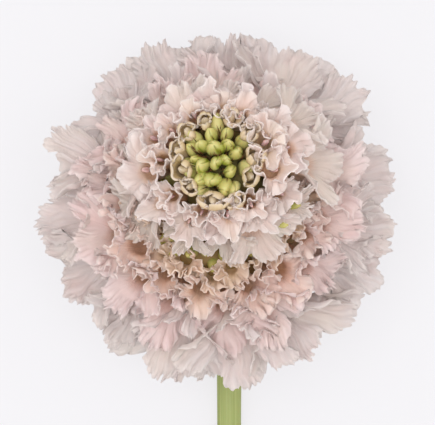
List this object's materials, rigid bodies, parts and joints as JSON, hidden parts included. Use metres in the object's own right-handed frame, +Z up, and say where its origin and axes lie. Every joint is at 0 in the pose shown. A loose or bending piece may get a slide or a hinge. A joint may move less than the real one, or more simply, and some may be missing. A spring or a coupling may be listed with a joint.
{
  "type": "cut scabiosa flower",
  "caption": "Cut scabiosa lying on its back: a ball of frilled blush florets, a smaller crown with green buds rising from its middle, and a ribbed green stem that bends up into the head.",
  "frame": {"origin": "middle of the footprint, on the surface that the flower lies on", "axes": "+Z up from the surface, +Y along the stem from its cut end to the head, +X to the right seen from above with the head at the top"},
  "size_m": [0.0774, 0.1276, 0.0571],
  "materials": {
    "stem": "waxy green stem, ribbed lengthwise, with paler streaks",
    "bract": "matt green bract with a pale keel and short down",
    "ray_petal": "thin matt petal, blush pink, paler at the frilled rim, light passes through",
    "tan_petal": "thin matt petal, peach to tan with an olive throat",
    "lower_bud": "closed yellow-green bud, satin",
    "crown_petal": "thin matt petal, cream white to blush pink, ribbed, light passes through",
    "olive_petal": "half-open petal, olive to tan with a paler frilled rim",
    "crown_bud": "closed bright green bud, satin"
  },
  "bodies": {
    "root": {"stem_and_cushions": "stem", "involucre_bracts": "bract", "lower_ray_florets": "ray_petal", "lower_inner_florets": "tan_petal", "lower_buds": "lower_bud", "crown_ray_florets": "crown_petal", "crown_inner_florets": "olive_petal", "crown_buds": "crown_bud"}
  },
  "joints": []
}
